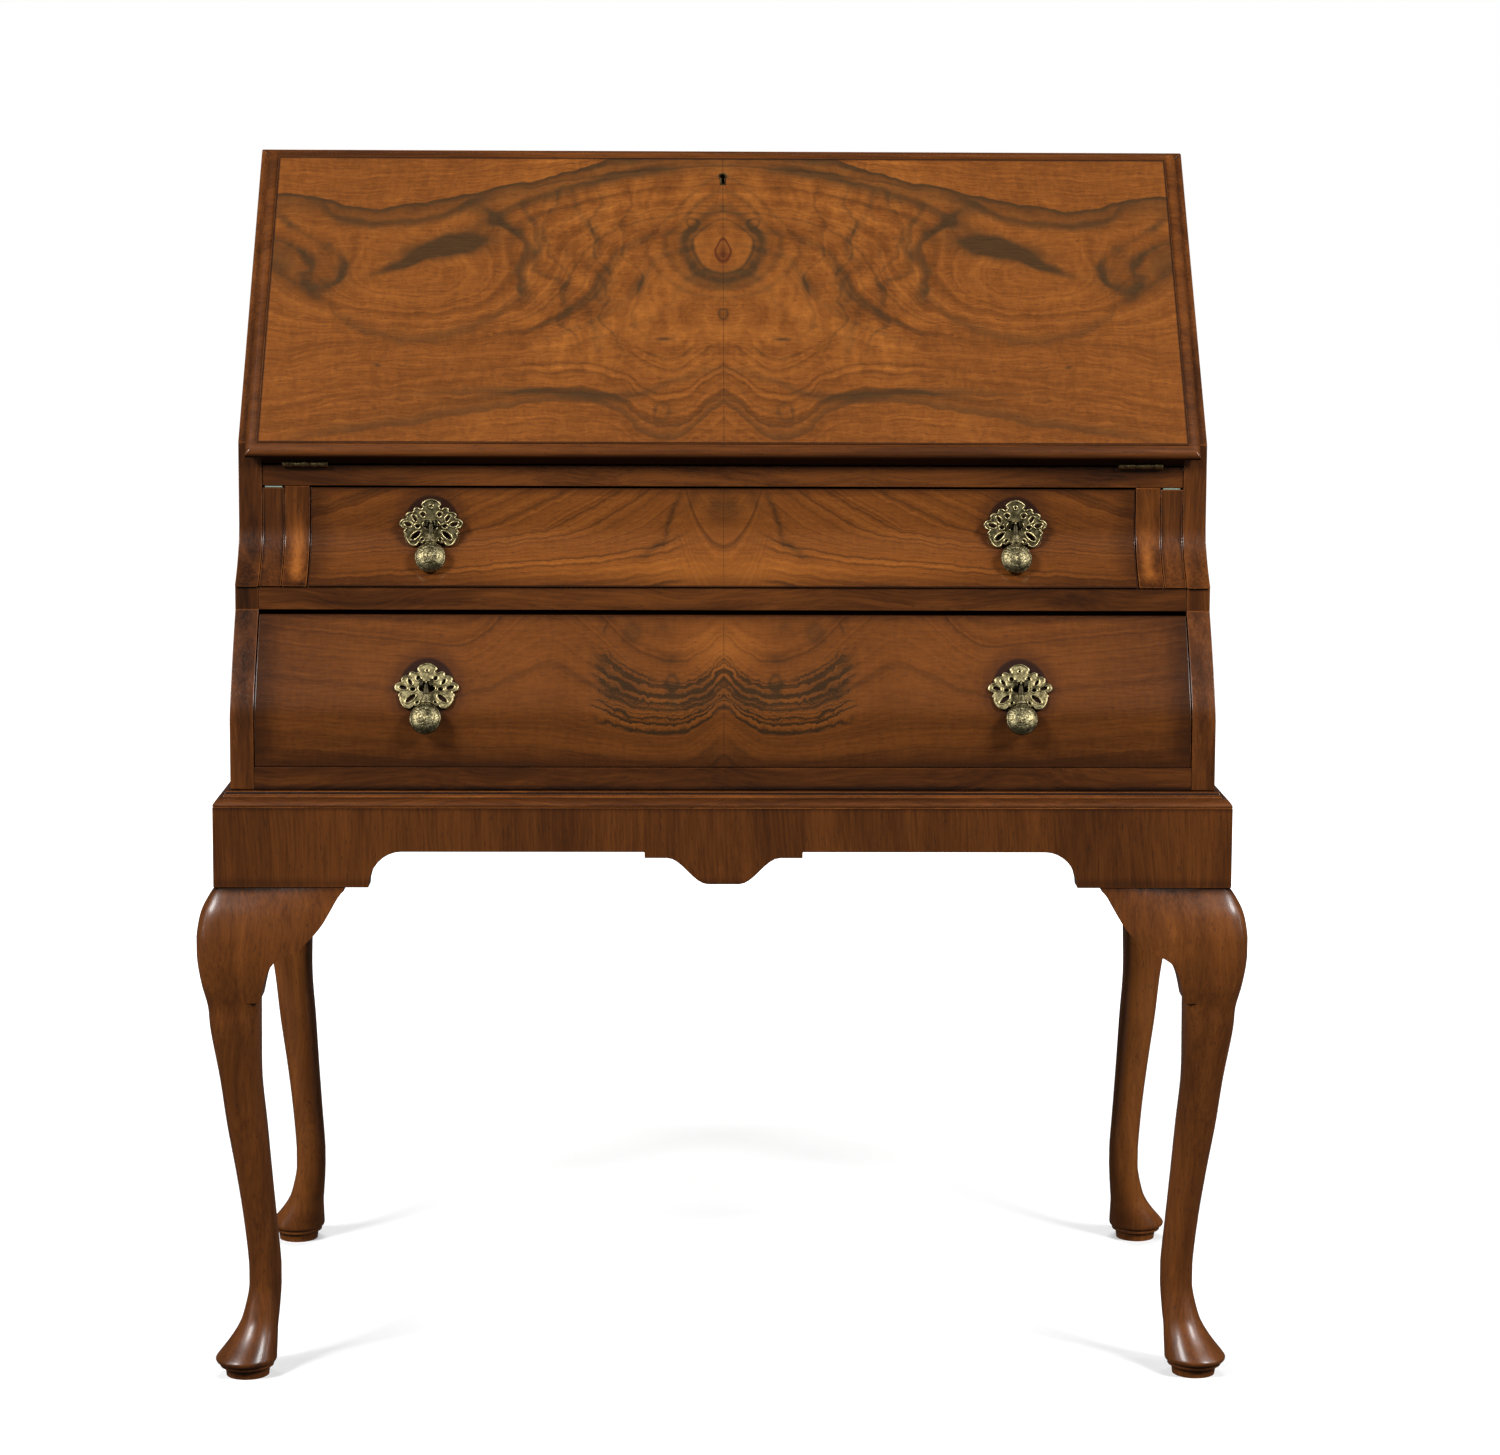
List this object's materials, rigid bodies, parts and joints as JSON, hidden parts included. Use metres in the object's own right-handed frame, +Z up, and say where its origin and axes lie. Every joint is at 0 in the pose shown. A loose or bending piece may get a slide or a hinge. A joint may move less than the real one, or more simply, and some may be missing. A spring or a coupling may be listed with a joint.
{
  "type": "writing bureau",
  "caption": "Slant-front writing bureau with a hinged fall, pull-out lopers and long drawers with brass drop pulls, on a stand with cabriole legs and pad feet.",
  "frame": {"origin": "on the floor, under the middle of the stand", "axes": "+Z up, +X to the right seen from the front, the front with the fall and drawers faces -Y"},
  "size_m": [0.8746, 0.4746, 1.0315],
  "materials": {
    "walnut": "polished reddish-brown walnut",
    "figured_walnut": "polished bookmatched walnut veneer",
    "dark_walnut": "darker polished solid walnut",
    "lining": "plain waxed oak",
    "brass": "aged cast brass",
    "steel": "dull steel",
    "baize": "worn green baize",
    "leather": "dark green writing leather"
  },
  "bodies": {
    "case_and_stand": {"side_left": "walnut", "side_right": "walnut", "top_board": "walnut", "back_panel": "lining", "case_bottom": "walnut", "dividing_rail": "walnut", "dust_board": "lining", "writing_bed": "walnut", "upright_left": "walnut", "upright_right": "walnut", "upper_stop": "lining", "lower_stop": "lining", "pigeonholes": "lining", "strike_plate": "brass", "hinge_leaf_left": "brass", "hinge_leaf_right": "brass", "stand_moulding": "walnut", "front_apron": "walnut", "side_apron_left": "walnut", "side_apron_right": "walnut", "back_rail": "walnut", "front_leg_left": "dark_walnut", "front_leg_right": "dark_walnut", "rear_leg_left": "dark_walnut", "rear_leg_right": "dark_walnut", "ear_left": "dark_walnut", "ear_right": "dark_walnut"},
    "fall": {"fall_panel": "figured_walnut", "writing_leather": "leather", "keyhole_liner": "brass", "lock_case": "brass", "fall_leaf_left": "brass", "fall_leaf_right": "brass"},
    "bolt": {"lock_bolt": "steel"},
    "left_loper": {"loper_left": "walnut", "baize_left": "baize"},
    "right_loper": {"loper_right": "walnut", "baize_right": "baize"},
    "upper_drawer": {"upper_front": "figured_walnut", "upper_side_left": "lining", "upper_side_right": "lining", "upper_bottom": "lining", "upper_back": "lining", "backplate_upper_left": "brass", "backplate_upper_right": "brass", "post_upper_left": "brass", "post_upper_right": "brass"},
    "lower_drawer": {"lower_front": "figured_walnut", "lower_side_left": "lining", "lower_side_right": "lining", "lower_bottom": "lining", "lower_back": "lining", "backplate_lower_left": "brass", "backplate_lower_right": "brass", "post_lower_left": "brass", "post_lower_right": "brass"},
    "upper_left_pull": {"drop_upper_left": "brass"},
    "upper_right_pull": {"drop_upper_right": "brass"},
    "lower_left_pull": {"drop_lower_left": "brass"},
    "lower_right_pull": {"drop_lower_right": "brass"}
  },
  "joints": [
    {"name": "fall_hinge", "type": "hinge", "parent": "case_and_stand", "child": "fall", "pos_m": [0, -0.132, 0.7665], "axis": [1, 0, 0], "range_deg": [0, 128.5]},
    {"name": "bolt_slide", "type": "slide", "parent": "fall", "child": "bolt", "axis": [0, 0.6232, 0.7821], "range_m": [0, 0.009]},
    {"name": "left_loper_slide", "type": "slide", "parent": "case_and_stand", "child": "left_loper", "axis": [0, -1, 0], "range_m": [0, 0.235]},
    {"name": "right_loper_slide", "type": "slide", "parent": "case_and_stand", "child": "right_loper", "axis": [0, -1, 0], "range_m": [0, 0.235]},
    {"name": "upper_drawer_slide", "type": "slide", "parent": "case_and_stand", "child": "upper_drawer", "axis": [0, -1, 0], "range_m": [0, 0.24]},
    {"name": "lower_drawer_slide", "type": "slide", "parent": "case_and_stand", "child": "lower_drawer", "axis": [0, -1, 0], "range_m": [0, 0.27]},
    {"name": "upper_left_pull_swing", "type": "hinge", "parent": "upper_drawer", "child": "upper_left_pull", "pos_m": [-0.2465, -0.1392, 0.718], "axis": [-1, 0, 0], "range_deg": [0, 66]},
    {"name": "upper_right_pull_swing", "type": "hinge", "parent": "upper_drawer", "child": "upper_right_pull", "pos_m": [0.2465, -0.1392, 0.718], "axis": [-1, 0, 0], "range_deg": [0, 66]},
    {"name": "lower_left_pull_swing", "type": "hinge", "parent": "lower_drawer", "child": "lower_left_pull", "pos_m": [-0.2465, -0.20622, 0.59081], "axis": [-1, 0, 0], "range_deg": [0, 66]},
    {"name": "lower_right_pull_swing", "type": "hinge", "parent": "lower_drawer", "child": "lower_right_pull", "pos_m": [0.2465, -0.20622, 0.59081], "axis": [-1, 0, 0], "range_deg": [0, 66]}
  ]
}
